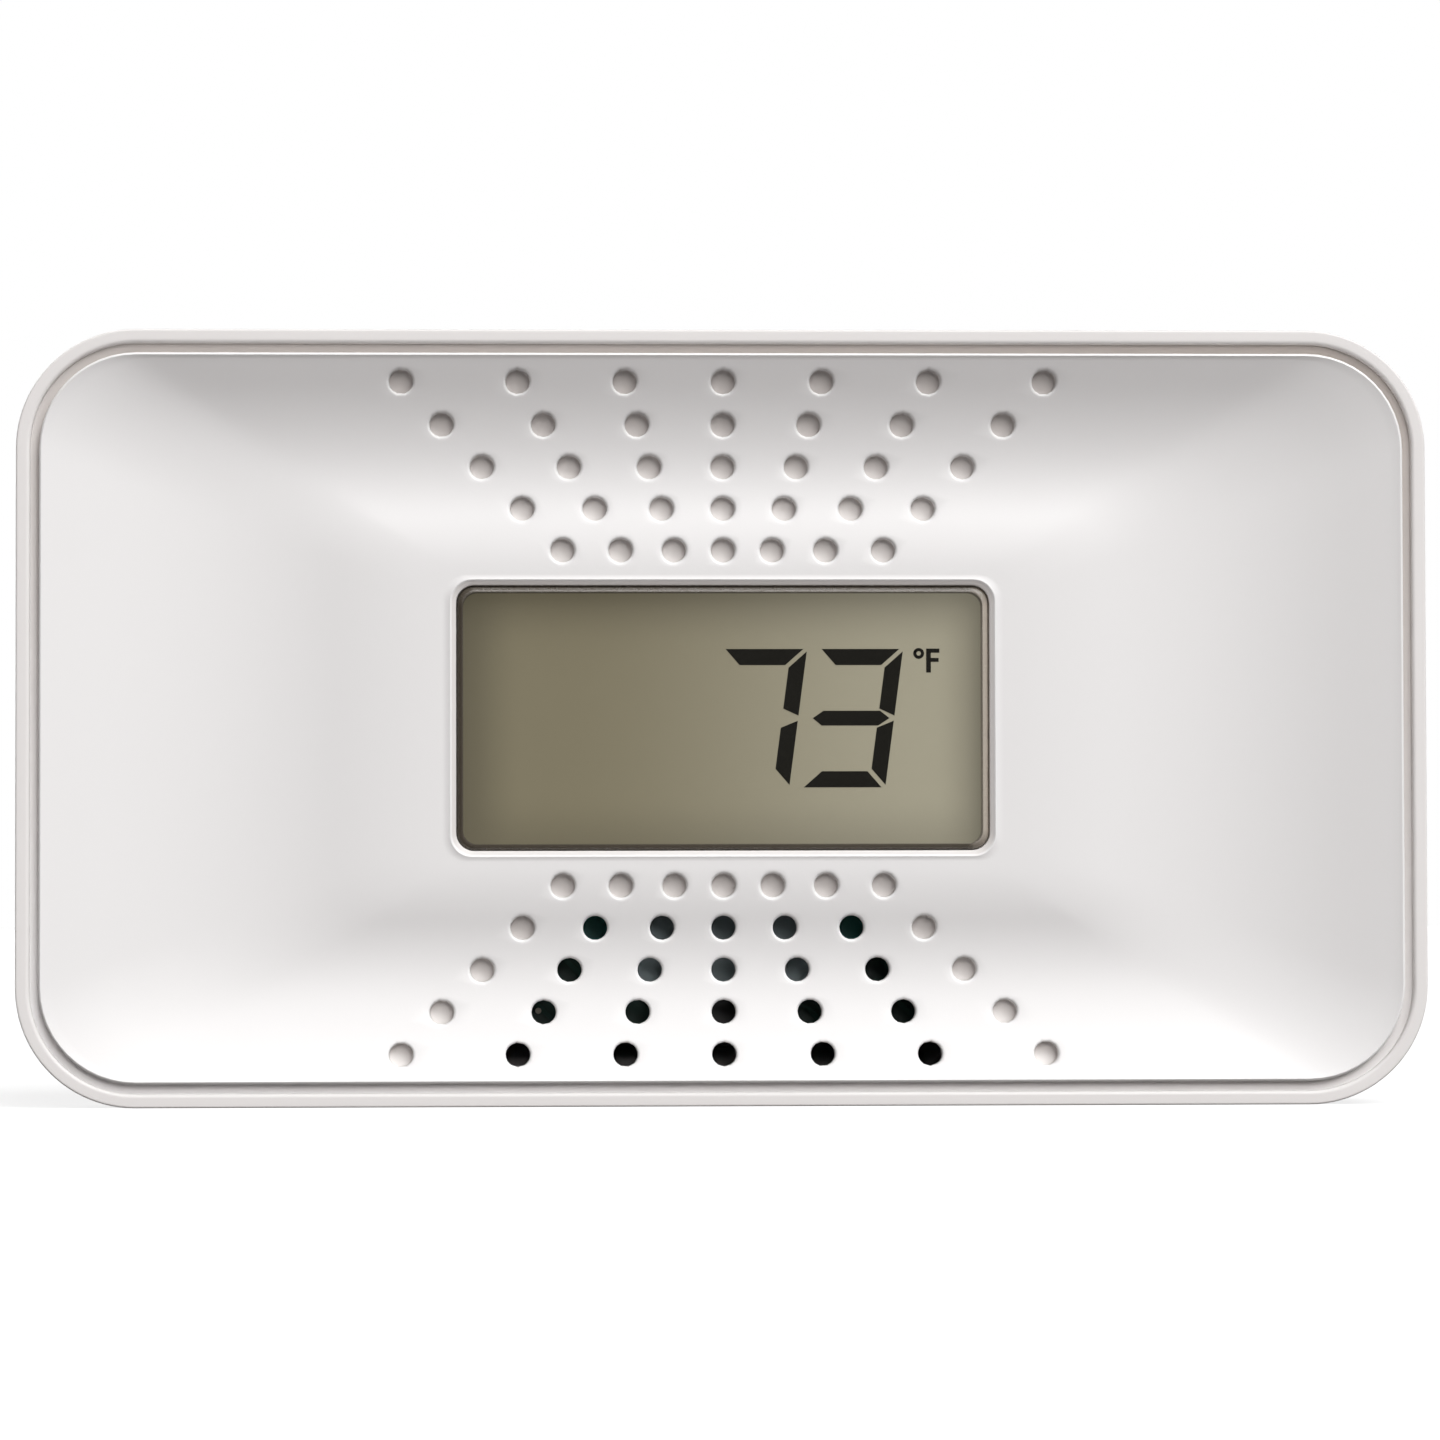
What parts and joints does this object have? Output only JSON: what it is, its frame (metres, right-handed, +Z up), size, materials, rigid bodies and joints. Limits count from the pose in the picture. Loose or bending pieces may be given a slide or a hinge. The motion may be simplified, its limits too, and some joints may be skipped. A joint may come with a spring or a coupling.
{
  "type": "carbon monoxide alarm",
  "caption": "Landscape white carbon monoxide alarm with a dished perforated front, a digital display, a top test button and a slide-on wall bracket.",
  "frame": {"origin": "middle of the foot: centre of the overall width and depth, at the lowest point", "axes": "+Z up, +X to the right seen from the front, the display faces -Y"},
  "size_m": [0.149, 0.038, 0.082],
  "materials": {
    "shell_white": "fine satin, injection moulded",
    "window_clear": "clear polished acrylic",
    "display_glass": "grey-green liquid crystal cell",
    "display_film": "satin reflector film",
    "black_plastic": "moulded, slightly rough",
    "board_green": "solder mask over glass-fibre board",
    "screw_steel": "zinc plated",
    "sensor_steel": "pressed stainless can",
    "switch_steel": "tinned sheet",
    "tab_nickel": "nickel strip",
    "disc_brass": "rolled brass",
    "disc_ceramic": "silvered ceramic",
    "strip_rubber": "layered elastomer",
    "cell_sleeve": "shrink sleeve",
    "coil_tape": "amber winding tape",
    "label_paper": "blank matt label",
    "lead_red": "insulation",
    "lamp_green": "tinted epoxy",
    "lamp_red": "tinted epoxy"
  },
  "bodies": {
    "alarm": {"front_cover": "shell_white", "rear_housing": "shell_white", "display_lens": "window_clear", "lcd_front_glass": "display_glass", "lcd_rear_glass": "display_glass", "lcd_reflector": "display_film", "lcd_contact_strip": "strip_rubber", "lcd_holder": "black_plastic", "circuit_board": "board_green", "cover_screw_1": "screw_steel", "cover_screw_2": "screw_steel", "cover_screw_3": "screw_steel", "cover_screw_4": "screw_steel", "board_screw_1": "screw_steel", "board_screw_2": "screw_steel", "board_screw_3": "screw_steel", "board_screw_4": "screw_steel", "horn_mouth": "black_plastic", "horn_body": "black_plastic", "piezo_disc": "disc_brass", "piezo_ceramic": "disc_ceramic", "horn_back_cap": "black_plastic", "horn_lead_red": "lead_red", "horn_lead_black": "black_plastic", "co_sensor_base": "black_plastic", "co_sensor_can": "sensor_steel", "co_sensor_cap": "black_plastic", "battery_cell": "cell_sleeve", "battery_tab_positive": "tab_nickel", "battery_tab_negative": "tab_nickel", "battery_cradle": "black_plastic", "tact_switch_body": "switch_steel", "power_switch_body": "switch_steel", "microcontroller": "black_plastic", "capacitor_1": "cell_sleeve", "capacitor_2": "cell_sleeve", "horn_transformer": "coil_tape", "crystal": "tab_nickel", "thermistor": "black_plastic", "led_green": "lamp_green", "led_red": "lamp_red", "rating_label": "label_paper"},
    "button": {"test_button": "shell_white"},
    "plunger": {"tact_switch_plunger": "black_plastic"},
    "slider": {"power_switch_knob": "black_plastic", "power_switch_lever": "tab_nickel"},
    "bracket": {"wall_bracket": "shell_white"}
  },
  "joints": [
    {"name": "test_button_press", "type": "slide", "parent": "alarm", "child": "button", "axis": [0, 0, -1], "range_m": [0, 0.001], "stiffness_N_per_m": 1500, "springref_m": -0.0005},
    {"name": "switch_plunger_press", "type": "slide", "parent": "alarm", "child": "plunger", "axis": [0, 0, -1], "range_m": [0, 0.0003]},
    {"name": "power_slide", "type": "slide", "parent": "alarm", "child": "slider", "axis": [0, 0, -1], "range_m": [0, 0.003]},
    {"name": "bracket_slide", "type": "slide", "parent": "alarm", "child": "bracket", "axis": [0, 0, -1], "range_m": [0, 0.0075]}
  ],
  "couplings": [
    {"joint": "switch_plunger_press", "follows": "test_button_press", "ratio": 0.25}
  ]
}
